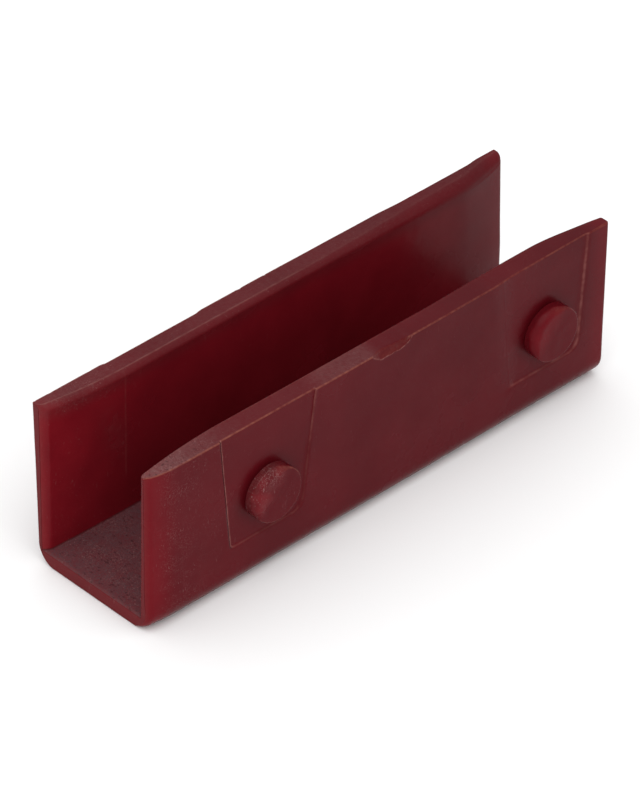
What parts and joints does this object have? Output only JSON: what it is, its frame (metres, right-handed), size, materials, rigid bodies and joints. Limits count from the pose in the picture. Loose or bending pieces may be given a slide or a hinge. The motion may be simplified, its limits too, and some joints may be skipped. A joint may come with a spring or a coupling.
{
  "type": "lift guide shoe insert",
  "caption": "U-shaped polyurethane insert of a lift guide shoe: flared lead-ins at both channel ends for the rail blade, round locating studs on the outer walls.",
  "frame": {"origin": "middle of the flat underside", "axes": "+X along the guide rail towards the end whose studs are closer to it, +Y across the blade, +Z out of the open side"},
  "size_m": [0.085, 0.0264, 0.0268],
  "materials": {
    "urethane": "dark red cast polyurethane, semi-gloss on the moulded faces, dusty matt on the floor and wall tops"
  },
  "bodies": {
    "root": {"insert": "urethane"}
  },
  "joints": []
}
